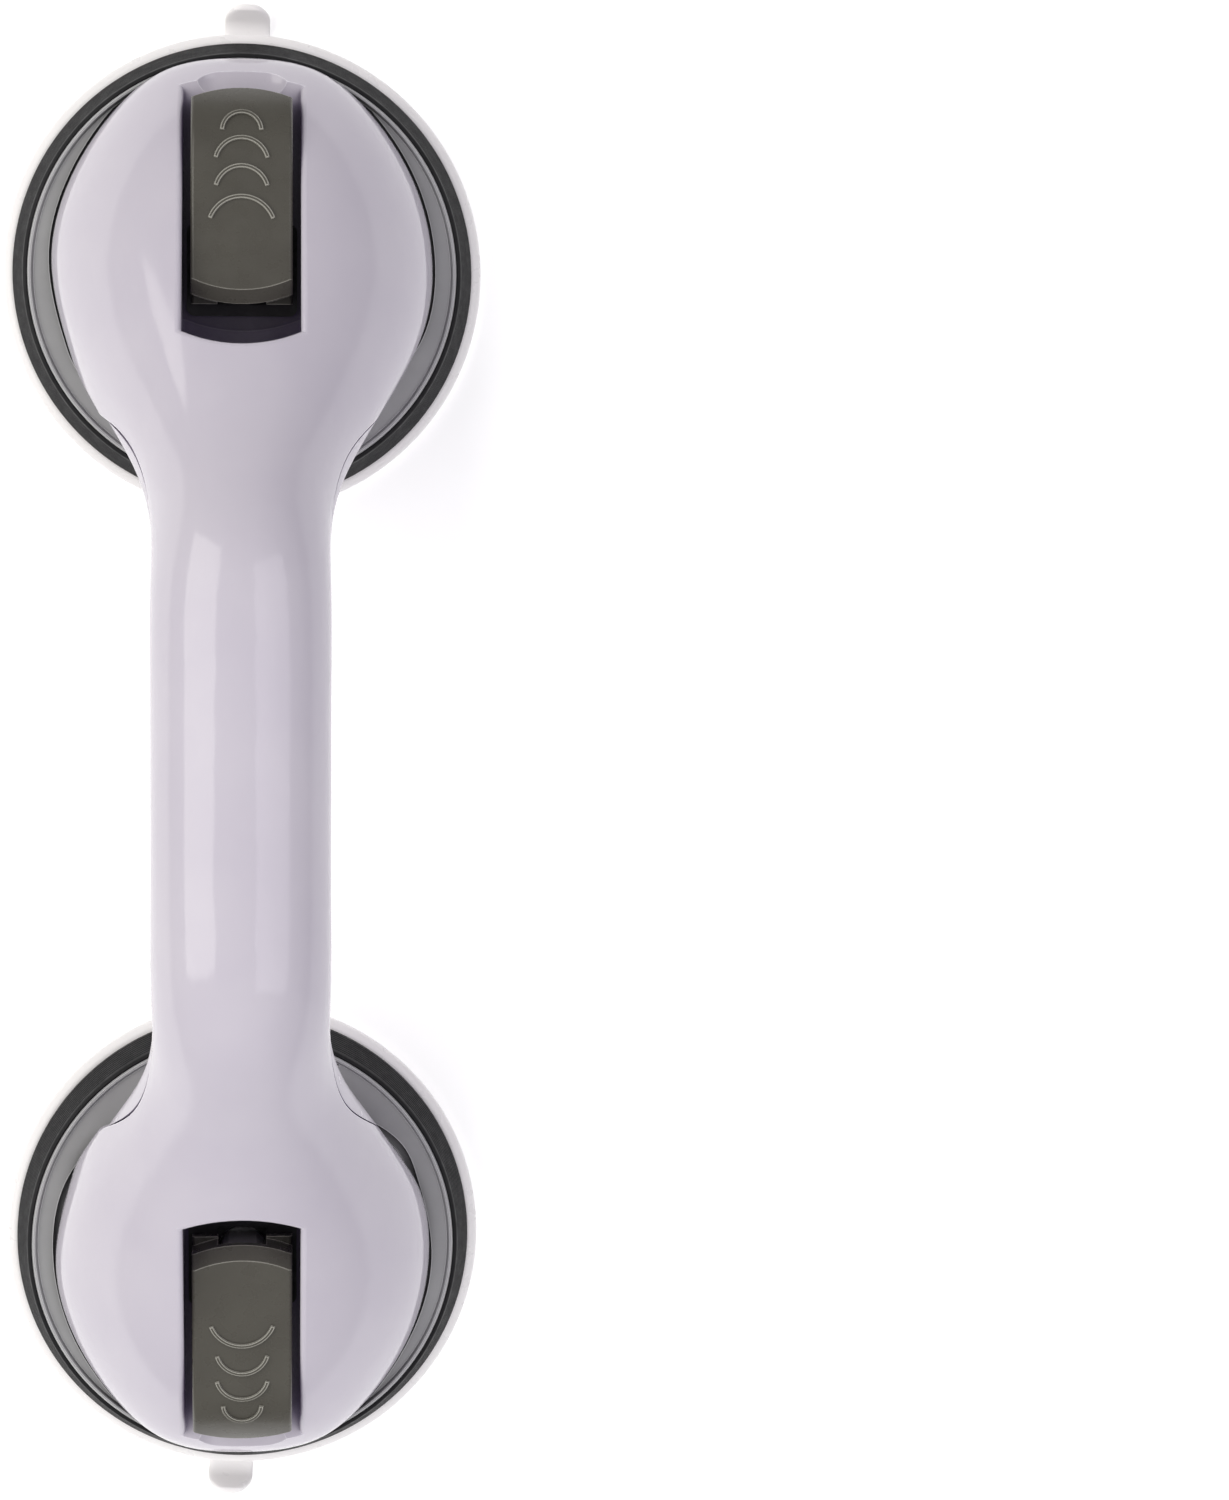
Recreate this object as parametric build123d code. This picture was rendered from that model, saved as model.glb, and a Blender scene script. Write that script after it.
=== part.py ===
from build123d import *
import math
import os

# Suction grab bar, lying on its two suction cups. Millimetres.
# X is across the bar, Y runs along it, +Z points away from the wall that the pads stick to.
# The origin is on the wall, midway between the cups.
# A cup's own parts are drawn in a cup frame: origin at the cup's centre on the wall, with +Y
# pointing outward, away from the middle of the bar.

# ---------------------------------------------------------------- driving dimensions
CUP_SPACING = 189.5          # centre of one cup to the centre of the other
HALF_SPACING = CUP_SPACING / 2

RIM_Z = 12.7                 # the heads' lower edge
BAR_TOP_Z = 81.0
BAR_BELLY_Z = 52.0
HEAD_HALF_WIDTH = 36.5
BAR_HALF_WIDTH = 16.5
NECK_END = 0.6               # station where the head's width has run out into the bar
SQUARENESS = 2.2             # exponent of the sections: 2 is an ellipse
WALL = 2.5
SEAM_GAP = 0.25              # open line between the two shells

PAD_RADIUS = 46.4
PAD_THICKNESS = 2.4
PAD_LIFT = 4.0               # how far the pad's middle is drawn up when it is locked
PAD_TURNS = {"top": -1.1, "bottom": -3.0}
TAB_WIDTH = 8.8

DISH_RADIUS = 41.2
DISH_TOP_Z = 11.4
DISH_PLATE = 2.2
GAP_INSIDE = 0.85            # the open line round a head's edge, sunk into the dish
GAP_OUTSIDE = 0.6
GAP_DEPTH = 1.5
TURRET_RADIUS = 11.0
TURRET_TOP_Z = 19.95
SPRING_ROOF_Z = 17.5
RING_FOOT_RADIUS = 44.5
RING_FOOT_Z = 2.5

SHAFT_RADIUS = 5.0
GUIDE_RADIUS = 5.1
EYE_RADIUS = 4.2
EYE_HALF_WIDTH = 4.0

WELL_HALF_WIDTH = 11.0
WELL_FLOOR_Z = 24.4
WELL_LEDGE_Z = 27.0
WELL_BLOCK_Z = 20.0
WELL_ARC_RADIUS = 28.6
WELL_INNER_END = -13.3
WELL_LEDGE_END = -11.0
WELL_ROUNDING = 0.9
WELL_OUTER_END = 46.0
STEM_WINDOW = (9.5, 12.0)

PIN_Z = 35.5
PIN_RADIUS = 2.0
CAM_REACH = 10.0             # pin to wear plate with the lever pressed down
CAM_FALL = 2.54              # how much the reach shrinks for each radian of opening
LEVER_HALF_WIDTH = 9.5
LEVER_TIP = 34.5
LEVER_BUTT = -6.0
LEVER_BUTT_TOP_Z = 45.5
LEVER_BEVEL = 2.7
LEVER_ROUNDING = 0.7
LEVER_END_RADIUS = 24.6
RIDGES = [(29.9, 7.3, 3.4), (25.0, 9.6, 3.7), (19.7, 9.5, 3.6), (14.0, 11.7, 4.0)]  # apex, width, rise
RIDGE_WIDTH = 0.6
RIDGE_HEIGHT = 0.5

PLATE_THICKNESS = 1.0
RUNNING_GAP = 0.1

HEAD_SCREWS = [(23.4, 13.5), (-23.4, 13.5), (21.0, -16.0), (-21.0, -16.0)]
BAR_SCREWS = [-46.0, 0.0, 46.0]
SCREW_RADIUS = 1.5
SCREW_HEAD_RADIUS = 3.0
SCREW_HEAD_HEIGHT = 2.0

# The handle's outline seen from the side, as (outward from the cup's centre, height).
CROWN = [(41.1, RIM_Z), (33.0, 29.0), (-13.3, 56.4), (-46.0, 75.3), (-HALF_SPACING, BAR_TOP_Z)]
BELLY = [(-36.0, RIM_Z), (-39.5, 28.0), (-48.5, 42.5), (-66.0, 50.5), (-HALF_SPACING, BAR_BELLY_Z)]
# The seam between the shells: it leaves the rim behind the lever well and runs along the bar's sides.
SEAM = [(-26.0, 5.0), (-27.0, 34.0), (-33.5, 49.5), (-45.0, 57.5), (-60.0, 64.0)]
# How the rim departs from a plain rounded oval, from the outer end round to the neck.
RIM_SHAPE = [1.0, 1.0, 0.96, 0.965, 1.0, 0.985, 0.93, 1.0, 1.0]
STATIONS = [0.0, 0.07, 0.15, 0.24, 0.34, 0.45, 0.57, 0.70, 0.85, 1.0]

AT_CUP = {
    "top": Pos(0, HALF_SPACING, 0),
    "bottom": Rot(0, 0, 180) * Pos(0, HALF_SPACING, 0),
}


# ---------------------------------------------------------------- small helpers
def smooth_step(x):
    """0 below 0, 1 above 1, and an S-curve between."""
    x = min(max(x, 0.0), 1.0)
    return x * x * (3 - 2 * x)


def upright(radius, low, high, x=0.0, y=0.0):
    """A round bar or hole along Z from one height to another."""
    return Pos(x, y, (low + high) / 2) * Cylinder(radius, high - low)


def slab(x_span, y_span, z_span):
    """A box given by its two limits along each axis."""
    spans = (x_span, y_span, z_span)
    middle = [(low + high) / 2 for low, high in spans]
    return Pos(*middle) * Box(*[high - low for low, high in spans])


def across(radius, half_length, y, z):
    """A round bar or hole along X, centred on the cup's middle plane."""
    return Pos(0, y, z) * Rot(0, 90, 0) * Cylinder(radius, 2 * half_length)


def raised(plan, low, high):
    """A plan outline carried up from one height to another."""
    return Pos(0, 0, low) * extrude(plan, high - low, dir=(0, 0, 1))


def side_profile(edges, half_width):
    """A closed outline in the YZ plane, carried both ways along X."""
    return extrude(make_face(edges), half_width, dir=(1, 0, 0), both=True)


def turned(points):
    """A closed outline of (radius, height) points turned about the cup's axis."""
    outline = Polyline(*[(r, 0, z) for r, z in points], close=True)
    return revolve(make_face(outline), Axis.Z)


# ---------------------------------------------------------------- handle body
def guide(points, start):
    """A side outline of the handle at the top cup, level where it reaches the middle of the bar."""
    places = [(0, HALF_SPACING + out, z) for out, z in points]
    return Spline(*places, tangents=[start, (0, -1, 0)])


def handle_section(crown, belly, station, inset, end, start_at_crown):
    """One closed section of the handle, in the plane through its crown and belly points."""
    top, low = crown @ station, belly @ station
    upward = (top - low).normalized()
    middle = (top + low) * 0.5
    half_depth = (top - low).length / 2 - inset
    spread = 1 - smooth_step(station / NECK_END)
    half_width = BAR_HALF_WIDTH + (HEAD_HALF_WIDTH - BAR_HALF_WIDTH) * spread - inset
    rim_share = 1 - smooth_step(station / 0.35)

    def point(step):
        angle = math.pi * step / 8
        shape = 1 + (RIM_SHAPE[step] - 1) * rim_share
        sine = abs(math.sin(angle)) ** (2 / SQUARENESS) if 0 < step < 8 else 0.0
        cosine = math.copysign(abs(math.cos(angle)) ** (2 / SQUARENESS), math.cos(angle))
        place = middle + upward * (half_depth * shape * cosine)
        return (half_width * shape * sine, end * place.Y, place.Z)

    right = [point(k) for k in range(9)]
    if not start_at_crown:
        right.reverse()
    left = [(-x, y, z) for x, y, z in reversed(right[:-1])]
    return Wire([Spline(*right, *left, tangents=[(1, 0, 0), (1, 0, 0)])])


def handle_body(inset, start_at_crown):
    """The whole handle as one smooth solid, or the space inside its walls.

    The surface closes on itself along the crown or the belly, whichever is away from the work.
    """
    crown = guide(CROWN, (0, -0.1, 1))
    belly = guide(BELLY, (0, -0.15, 1))
    top = [handle_section(crown, belly, s, inset, 1, start_at_crown) for s in STATIONS]
    bottom = [handle_section(crown, belly, s, inset, -1, start_at_crown) for s in reversed(STATIONS[:-1])]
    return Part() + Solid.make_loft(top + bottom)


def back_zone(gap):
    """Everything on the back shell's side of the seam, drawn in by a gap."""
    rise = [(0, HALF_SPACING + out - gap, z - gap) for out, z in SEAM]
    fall = [(0, -y, z) for _, y, z in reversed(rise)]
    middle = (0, 0, (BAR_TOP_Z + BAR_BELLY_Z) / 2 - gap)
    arch = Spline(*rise, middle, *fall, tangents=[(0, 0, 1), (0, 0, -1)])
    return side_profile([arch, Line(arch @ 1, arch @ 0)], 60)


# ---------------------------------------------------------------- lever well, in the cup frame
def well_plan(inner_end, half_width):
    """Plan of the well: straight sides, and an inner end that bows toward the middle of the bar."""
    sag = WELL_ARC_RADIUS - math.sqrt(WELL_ARC_RADIUS**2 - half_width**2)
    corner = inner_end + sag
    bow = ThreePointArc((-half_width, corner), (0, inner_end), (half_width, corner))
    rest = Polyline(
        (half_width, corner), (half_width, WELL_OUTER_END), (-half_width, WELL_OUTER_END), (-half_width, corner)
    )
    return make_face([bow, rest])


def well_space():
    """The hollow that the lever lies in, with its ledge, stem window and finger scoop."""
    upper = raised(well_plan(WELL_INNER_END, WELL_HALF_WIDTH), WELL_LEDGE_Z, 95)
    lower = raised(well_plan(WELL_LEDGE_END, WELL_HALF_WIDTH), WELL_FLOOR_Z, WELL_LEDGE_Z + 1)
    window = slab(*[(-w / 2, w / 2) for w in STEM_WINDOW], (WELL_BLOCK_Z - 1, WELL_FLOOR_Z + 1))
    scoop = across(9.0, WELL_HALF_WIDTH - 0.5, 38.5, 31.5)
    scoop = fillet(scoop.edges().filter_by(GeomType.CIRCLE), 6.0)
    return upper + lower + window + scoop


def well_block():
    """The solid that the well is cut into, before it is trimmed to the handle's skin."""
    side = WELL_HALF_WIDTH + 2.2
    return slab((-side, side), (WELL_INNER_END - 2.4, WELL_OUTER_END), (WELL_BLOCK_Z, 75))


# ---------------------------------------------------------------- shells
def front_shell():
    """Upper shell: both heads, both lever wells and the screw bosses."""
    outer = handle_body(0, start_at_crown=False)
    shell = outer - handle_body(WALL, start_at_crown=False) - back_zone(0)
    extras = Part()
    cuts = Part()
    for place in AT_CUP.values():
        extras += place * well_block()
        cuts += place * well_space()
        for x, y in HEAD_SCREWS:
            extras += place * upright(3.6, DISH_TOP_Z + 0.05, 60, x, y)
            cuts += place * upright(SCREW_RADIUS + 0.05, DISH_TOP_Z, 23, x, y)
    for y in BAR_SCREWS:
        extras += upright(4.0, 67.0, 95, 0, y)
        cuts += upright(SCREW_RADIUS + 0.05, 60, 75.5, 0, y)
    feet = slab((-40, 40), (-150, 150), (0, RIM_Z + 0.01))
    extras = (extras & outer) + (extras & feet)
    shell = shell + extras - cuts
    for end in (1, -1):
        shell = fillet(well_mouth(shell, end), WELL_ROUNDING)
    return shell


def well_mouth(shell, end):
    """The edges where one lever well opens through the skin: two long sides and the bowed inner end."""
    behind = HALF_SPACING + WELL_INNER_END - 1

    def at_mouth(edge):
        places = [edge @ share for share in (0, 0.5, 1)]
        inside = all(abs(p.X) < WELL_HALF_WIDTH + 0.1 and end * p.Y > behind for p in places)
        return inside and edge.geom_type == GeomType.BSPLINE and edge.length > WELL_HALF_WIDTH

    return shell.edges().filter_by(at_mouth)


def back_shell():
    """Lower shell: the bar's underside and the insides of both necks."""
    outer = handle_body(0, start_at_crown=True)
    shell = (outer - handle_body(WALL, start_at_crown=True)) & back_zone(SEAM_GAP)
    for y in BAR_SCREWS:
        shell += upright(4.6, 40.0, 66.0, 0, y) & outer
        shell -= upright(SCREW_RADIUS + 0.2, 40, 70, 0, y)
        shell -= upright(SCREW_HEAD_RADIUS + 0.3, 40, 57.5, 0, y)
    return shell


# ---------------------------------------------------------------- screws
def screw(length):
    """Pan-head screw pointing up, with its head's bearing face at the origin, and a cross recess."""
    head = upright(SCREW_HEAD_RADIUS, -SCREW_HEAD_HEIGHT, 0)
    head = fillet(head.edges().group_by(Axis.Z)[0], 0.8)
    body = head + upright(SCREW_RADIUS, 0, length)
    body = chamfer(body.edges().group_by(Axis.Z)[-1], 0.6)
    for angle in (0, 90):
        body -= Rot(0, 0, angle) * slab((-1.6, 1.6), (-0.35, 0.35), (-SCREW_HEAD_HEIGHT, -0.8))
    return body


def head_screws():
    """The four screws that hold a cup's dish to the handle."""
    bearing = DISH_TOP_Z - DISH_PLATE
    return Part() + [Pos(x, y, bearing) * screw(13.0) for x, y in HEAD_SCREWS]


def bar_screws():
    """The screws that hold the back shell to the front shell."""
    return Part() + [Pos(0, y, 57.5) * screw(17.0) for y in BAR_SCREWS]


# ---------------------------------------------------------------- cup parts, in the cup frame
def cup_housing():
    """Dish with a skirt, a rolled lip, a turret for the stem and four screw holes."""
    under = DISH_TOP_Z - DISH_PLATE
    lip = DISH_RADIUS - 0.8
    dish = turned([
        (SHAFT_RADIUS + 3.2, under), (DISH_RADIUS - 3.0, under), (DISH_RADIUS - 3.0, RING_FOOT_Z + 0.05),
        (DISH_RADIUS, RING_FOOT_Z + 0.05), (DISH_RADIUS, DISH_TOP_Z + 0.6), (DISH_RADIUS - 0.25, DISH_TOP_Z + 0.9),
        (lip + 0.2, DISH_TOP_Z + 0.9), (lip, DISH_TOP_Z + 0.7), (lip - 0.3, DISH_TOP_Z),
        (TURRET_RADIUS, DISH_TOP_Z), (TURRET_RADIUS, TURRET_TOP_Z), (GUIDE_RADIUS, TURRET_TOP_Z),
        (GUIDE_RADIUS, SPRING_ROOF_Z), (SHAFT_RADIUS + 3.2, SPRING_ROOF_Z),
    ])
    for x, y in HEAD_SCREWS:
        dish -= upright(SCREW_RADIUS + 0.2, under - 1, DISH_TOP_Z + 1, x, y)
    return dish - gap_round_head()


def gap_round_head():
    """Groove in the dish under a head's lower edge, so that the head stands clear in a dark line."""
    crown, belly = guide(CROWN, (0, -0.1, 1)), guide(BELLY, (0, -0.15, 1))
    band = []
    for inset, margin in ((-GAP_OUTSIDE, 0), (GAP_INSIDE, 1)):
        outline = make_face(handle_section(crown, belly, 0, inset, 1, False))
        plan = Pos(0, -HALF_SPACING, -RIM_Z) * outline
        band.append(raised(plan, DISH_TOP_Z - GAP_DEPTH - margin, DISH_TOP_Z + 1 + margin))
    return (band[0] - band[1]) & upright(DISH_RADIUS - 1.2, 5, 20)


def rim_ring():
    """Rubber ring round the dish: a steep cone with a square foot and fine grooves."""
    inner = DISH_RADIUS + 0.05
    crest, crest_z = 41.95, 12.0
    foot_top = RING_FOOT_Z + 1.0
    ring = turned([
        (inner, RING_FOOT_Z), (RING_FOOT_RADIUS, RING_FOOT_Z), (RING_FOOT_RADIUS, foot_top),
        (crest, crest_z - 0.4), (crest - 0.25, crest_z), (inner, crest_z),
    ])
    for share in (0.22, 0.44, 0.66, 0.86):
        radius = RING_FOOT_RADIUS + (crest - RING_FOOT_RADIUS) * share
        height = foot_top + (crest_z - 0.4 - foot_top) * share
        ring -= Pos(0, 0, height) * Torus(radius + 0.1, 0.38)
    return ring


def suction_pad():
    """Soft clear disc drawn up in the middle, with a boss for the stem and a pull tab."""
    boss_top = PAD_LIFT + 4.8
    under = Spline((14.5, 0, PAD_LIFT), (24.5, 0, PAD_LIFT / 2), (34, 0, 0), tangents=[(1, 0, 0), (1, 0, 0)])
    over = Spline(
        (34, 0, PAD_THICKNESS), (25, 0, PAD_THICKNESS + PAD_LIFT / 2), (16, 0, PAD_THICKNESS + PAD_LIFT),
        tangents=[(-1, 0, 0), (-1, 0, 0)],
    )
    edge = Polyline(
        (34, 0, 0), (PAD_RADIUS - 0.5, 0, 0), (PAD_RADIUS, 0, 0.5), (PAD_RADIUS, 0, 1.5),
        (PAD_RADIUS - 0.9, 0, PAD_THICKNESS), (34, 0, PAD_THICKNESS),
    )
    socket = Polyline(
        (16, 0, PAD_THICKNESS + PAD_LIFT), (14.2, 0, 7.4), (13.4, 0, boss_top), (5.05, 0, boss_top),
        (5.05, 0, 7.65), (11.05, 0, 7.65), (11.05, 0, 5.55), (0, 0, 5.55), (0, 0, PAD_LIFT), (14.5, 0, PAD_LIFT),
    )
    return revolve(make_face([under, edge, over, socket]), Axis.Z) + pull_tab()


def pull_tab():
    """Strip that leaves the pad's edge and curls up, with a round end."""
    start = PAD_RADIUS - 2.0
    bend_radius, bend_angle, straight = 4.0, 50.0, 3.6
    root = Line((0, start, 0.9), (0, PAD_RADIUS, 0.9))
    bend = Plane.YZ * CenterArc((PAD_RADIUS, 0.9 + bend_radius), bend_radius, -90, bend_angle)
    free = Line(bend @ 1, (bend @ 1) + (bend % 1) * straight)
    path = Wire([root, bend, free])
    cross = Plane(path @ 0, x_dir=(1, 0, 0), z_dir=(0, 1, 0)) * Rectangle(TAB_WIDTH, 1.6)
    strip = sweep(cross, path)
    corners = strip.edges().filter_by(lambda e: e.length < 1.7).group_by(Axis.Z)[-1]
    return fillet(corners, TAB_WIDTH / 2 - 0.3)


def pad_stem():
    """Stem moulded into the pad: flange, collar for the spring, round shaft and flat eye."""
    body = upright(11.0, 5.6, 7.6) + upright(SHAFT_RADIUS, 7.6, 20.0) + upright(7.8, 8.9, 10.0)
    blade = slab((-EYE_HALF_WIDTH, EYE_HALF_WIDTH), (-EYE_RADIUS, EYE_RADIUS), (19.0, PIN_Z))
    blade &= upright(SHAFT_RADIUS, 18.0, PIN_Z)
    blade += across(EYE_RADIUS, EYE_HALF_WIDTH, 0, PIN_Z)
    body += blade
    return body - across(PIN_RADIUS + RUNNING_GAP, 10, 0, PIN_Z)


def return_spring():
    """Compression spring round the shaft, between the stem's collar and the turret's roof."""
    wire, mean = 0.55, 6.35
    low, high = 10.05 + wire, SPRING_ROOF_Z - 0.1 - wire
    turns = 4
    helix = Pos(0, 0, low) * Helix((high - low) / turns, high - low, mean)
    cross = Plane(helix @ 0, z_dir=helix % 0) * Circle(wire)
    return sweep(cross, helix, is_frenet=True)


def wear_plate():
    """Steel plate on the well's floor that the lever's cams bear on."""
    plate = slab((-10.4, 10.4), (-8.2, 9.2), (0, PLATE_THICKNESS))
    plate = fillet(plate.edges().filter_by(Axis.Z), 1.5)
    plate -= slab(*[(-w / 2, w / 2) for w in STEM_WINDOW], (-1, 2))
    return Pos(0, 0, WELL_FLOOR_Z) * plate


def pivot_pin():
    """Steel pin through the lever's ears and the stem's eye."""
    pin = across(PIN_RADIUS, 9.0, 0, PIN_Z)
    return chamfer(pin.edges().filter_by(GeomType.CIRCLE), 0.3)


# ---------------------------------------------------------------- lever, in the cup frame
def cam_curve():
    """Cam face from the pressed-down contact round to the upright one.

    Its support distance from the pin falls in proportion to the opening angle, so the pin comes
    down by the same amount for each degree.
    """
    places = []
    for step in range(7):
        turn = math.pi / 2 * step / 6
        reach = CAM_REACH - CAM_FALL * turn
        y = -reach * math.sin(turn) + CAM_FALL * math.cos(turn)
        z = -reach * math.cos(turn) - CAM_FALL * math.sin(turn)
        places.append((0, y, PIN_Z + z))
    return Spline(*places, tangents=[(0, -1, 0), (0, 0, 1)])


def lever_side():
    """The lever seen from the side, as a list of edges."""
    cam = cam_curve()
    butt_top = (0, LEVER_BUTT, LEVER_BUTT_TOP_Z)
    brow = (0, 22.0, 38.7)
    tip_top = (0, LEVER_TIP, 30.0)
    tip_low = (0, LEVER_TIP - 0.9, 26.8)
    heel = (0, 11.5, 31.2)
    slope = Vector(*brow) - Vector(*butt_top)
    return [
        cam, Line(cam @ 1, butt_top), Line(butt_top, brow),
        TangentArc(brow, tip_top, tangent=slope), Line(tip_top, tip_low), Line(tip_low, heel),
        ThreePointArc(heel, (0, 7.9, 27.2), cam @ 0),
    ]


def end_cap(tip, facing):
    """Plan region past a bowed end of the lever; facing is 1 for the outer end, -1 for the butt."""
    half = LEVER_HALF_WIDTH + 1
    sag = LEVER_END_RADIUS - math.sqrt(LEVER_END_RADIUS**2 - half**2)
    corner = tip - facing * sag
    far = tip + facing * 12
    bow = ThreePointArc((-half, corner), (0, tip), (half, corner))
    rest = Polyline((half, corner), (half, far), (-half, far), (-half, corner))
    return make_face([bow, rest])


def ridge(apex, width, rise, lever_skin):
    """One raised arc on the lever's face, bowed toward the lever's outer end."""
    line = ThreePointArc((-width / 2, apex - rise), (0, apex), (width / 2, apex - rise))
    above_underside = 31.6
    return raised(trace(line, RIDGE_WIDTH), above_underside, 48) & lever_skin


def lever():
    """Cam lever: bowed ends, two ears with cams, a hollow underside and four raised arcs."""
    side = lever_side()
    body = side_profile(side, LEVER_HALF_WIDTH)
    body -= raised(end_cap(LEVER_TIP, 1), 0, 60)
    body -= raised(end_cap(LEVER_BUTT, -1), PIN_Z - 1.0, 60)
    crossing = body.edges().filter_by(lambda e: abs((e @ 0).X - (e @ 1).X) > LEVER_HALF_WIDTH - 1)
    butt_arc = [e for e in crossing if (e @ 0.5).Z > LEVER_BUTT_TOP_Z - 1]
    body = chamfer(butt_arc, LEVER_BEVEL)
    sides = body.edges().filter_by(lambda e: min(abs((e @ t).X) for t in (0, 0.5, 1)) > LEVER_HALF_WIDTH - 0.1)
    body = fillet([e for e in sides if (e @ 0.5).Z > 34 and abs((e @ 0).Y - (e @ 1).Y) > 1], LEVER_ROUNDING)
    slot = slab((-4.6, 4.6), (-12, 4.8), (15, PIN_Z)) + across(4.7, 4.6, 0, PIN_Z)
    slot += slab((-4.6, 4.6), (-12, 0), (PIN_Z - 1, PIN_Z + 4.7))
    core = offset(make_face(side), -2.4)
    pocket = extrude(core, 6.8, dir=(1, 0, 0), both=True) & slab((-7, 7), (7.4, 40), (15, 60))
    pocket += Pos(0, 0, -2.6) * pocket
    body = body - slot - pocket - across(PIN_RADIUS + 0.02, 20, 0, PIN_Z)
    lever_skin = side_profile(offset(make_face(side), RIDGE_HEIGHT).edges(), LEVER_HALF_WIDTH - 0.5)
    lever_skin -= side_profile(offset(make_face(side), -0.4).edges(), LEVER_HALF_WIDTH)
    for apex, width, rise in RIDGES:
        body += ridge(apex, width, rise, lever_skin)
    return body


# ---------------------------------------------------------------- build and write
def build():
    """Every node of the grab bar, by name, in place."""
    nodes = {
        "handle_front_shell": front_shell(),
        "handle_back_shell": back_shell(),
        "shell_screws": bar_screws(),
    }
    makers = {
        "suction_pad": suction_pad,
        "pad_stem": pad_stem,
        "cup_housing": cup_housing,
        "rim_ring": rim_ring,
        "return_spring": return_spring,
        "cam_washer": wear_plate,
        "lever": lever,
        "pivot_pin": pivot_pin,
        "housing_screws": head_screws,
    }
    for name, maker in makers.items():
        piece = maker()
        for end, place in AT_CUP.items():
            turn = Rot(0, 0, PAD_TURNS[end]) if name == "suction_pad" else Rot(0, 0, 0)
            nodes[f"{name}_{end}"] = place * turn * piece
    return nodes


def write_parts():
    """Write one STEP file for each node."""
    os.makedirs("parts", exist_ok=True)
    for node, shape in build().items():
        export_step(shape, f"parts/{node}.step")
        print(f"{node}: {len(shape.solids())} solid(s), {shape.volume:.0f} mm3")


if __name__ == "__main__":
    write_parts()
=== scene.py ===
"""A suction grab bar in lavender plastic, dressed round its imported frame.

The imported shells, levers, dishes and fasteners keep their shapes and take procedural finishes.
The soft pads, the rubber rings and the springs are worked out here as surfaces and stand for
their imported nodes. Z is up and the pads' faces lie on the floor. Places, lights and finishes are
in metres, and the sizes of the pieces made here are fields in millimetres.
"""

import logging
import math
from dataclasses import dataclass, field
from enum import Enum

import bmesh
import bpy
import numpy as np
from mathutils import Matrix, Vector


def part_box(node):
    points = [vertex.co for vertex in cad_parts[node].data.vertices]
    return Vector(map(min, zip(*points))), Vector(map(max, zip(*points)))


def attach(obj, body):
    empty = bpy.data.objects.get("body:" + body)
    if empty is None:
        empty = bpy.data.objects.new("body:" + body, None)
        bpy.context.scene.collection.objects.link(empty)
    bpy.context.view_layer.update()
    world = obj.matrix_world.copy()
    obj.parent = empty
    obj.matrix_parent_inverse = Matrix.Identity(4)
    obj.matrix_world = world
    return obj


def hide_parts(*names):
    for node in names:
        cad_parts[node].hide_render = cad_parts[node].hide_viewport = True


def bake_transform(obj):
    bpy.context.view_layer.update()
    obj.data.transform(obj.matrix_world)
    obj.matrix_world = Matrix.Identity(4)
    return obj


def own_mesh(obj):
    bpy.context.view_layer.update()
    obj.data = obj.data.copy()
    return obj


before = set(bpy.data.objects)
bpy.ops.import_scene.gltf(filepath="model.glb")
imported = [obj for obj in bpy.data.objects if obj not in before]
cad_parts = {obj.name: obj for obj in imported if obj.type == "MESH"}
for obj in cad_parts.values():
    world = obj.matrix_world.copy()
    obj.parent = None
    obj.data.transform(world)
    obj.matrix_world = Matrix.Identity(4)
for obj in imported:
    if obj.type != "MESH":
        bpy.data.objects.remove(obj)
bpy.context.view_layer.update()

LOG = logging.getLogger("grab_bar")
MM = 0.001
FULL_TURN = 2.0 * math.pi
Colour = tuple[float, float, float]
Place = tuple[float, float, float]

# A colour Mix node's sockets, by their place in its lists.
MIX_FROM, MIX_TO, MIX_RESULT = 6, 7, 2
# The part of a noise texture's range that its values mostly keep to.
NOISE_SPAN = (0.3, 0.7)
# How much finer the gloss varies than the colour.
GLOSS_PATCHES = 3.7
# Octaves of the noise that varies the colour, the gloss and the surface's height.
COLOUR_DETAIL, GLOSS_DETAIL, GRAIN_DETAIL = 3.0, 5.0, 2.0
GRAIN_STRENGTH = 0.5
PLASTIC_IOR = 1.45
# Openness round a point, from the bottom of a closed gap to a face in the open, over which the painted
# shade fades out.
HIDDEN_TO_OPEN = (0.15, 0.76)
# Cosine between the true normal and a rounded one, from a flat face to a sharp edge, over which the painted
# edge highlight fades in.
FLAT_TO_SHARP = (0.992, 0.92)
OPENNESS_SAMPLES, ROUNDING_SAMPLES = 12, 8


# ---------------------------------------------------------------- finishes
class Grain(Enum):
    """The fine structure that a moulding tool or a machine leaves on a surface."""

    GLOSS = "gloss"
    SATIN = "satin"
    SPARKED = "sparked"
    BRUSHED = "brushed"
    DRAWN = "drawn"


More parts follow.
